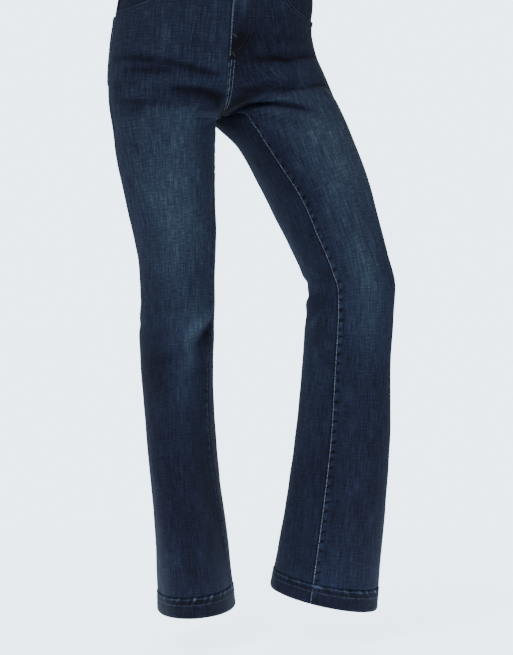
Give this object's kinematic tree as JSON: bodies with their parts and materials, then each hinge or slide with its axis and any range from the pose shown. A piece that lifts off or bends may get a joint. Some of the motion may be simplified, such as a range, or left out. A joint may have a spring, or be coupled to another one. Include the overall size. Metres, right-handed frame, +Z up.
{
  "type": "flared jeans",
  "caption": "Hollow flared denim jeans in a standing pose, one leg straight and one turned out with a bent knee, open at the waist and hems.",
  "frame": {"origin": "middle of the waistband's ring, half way up the band", "axes": "+Z up along the standing legs, -Y towards the viewer of the front, +X towards the wearer's left"},
  "size_m": [0.4728, 0.2628, 1.1061],
  "materials": {
    "denim": "dark washed indigo twill, faded on the thighs and knees",
    "denim_inner": "indigo twill pocket facing",
    "denim_folded": "indigo twill folded and topstitched",
    "thread": "grey-blue topstitching thread",
    "brass": "aged brushed brass"
  },
  "bodies": {
    "root": {"front_right": "denim", "front_left": "denim", "back_right": "denim", "back_left": "denim", "yoke_right": "denim", "yoke_left": "denim", "back_pocket_right": "denim", "back_pocket_left": "denim", "fly": "denim", "pocket_facing_right": "denim_inner", "pocket_facing_left": "denim_inner", "waistband": "denim_folded", "hem_right": "denim_folded", "hem_left": "denim_folded", "belt_loop_front_left": "denim_folded", "belt_loop_side_left": "denim_folded", "belt_loop_back": "denim_folded", "belt_loop_side_right": "denim_folded", "belt_loop_front_right": "denim_folded", "button": "brass"}
  },
  "joints": []
}
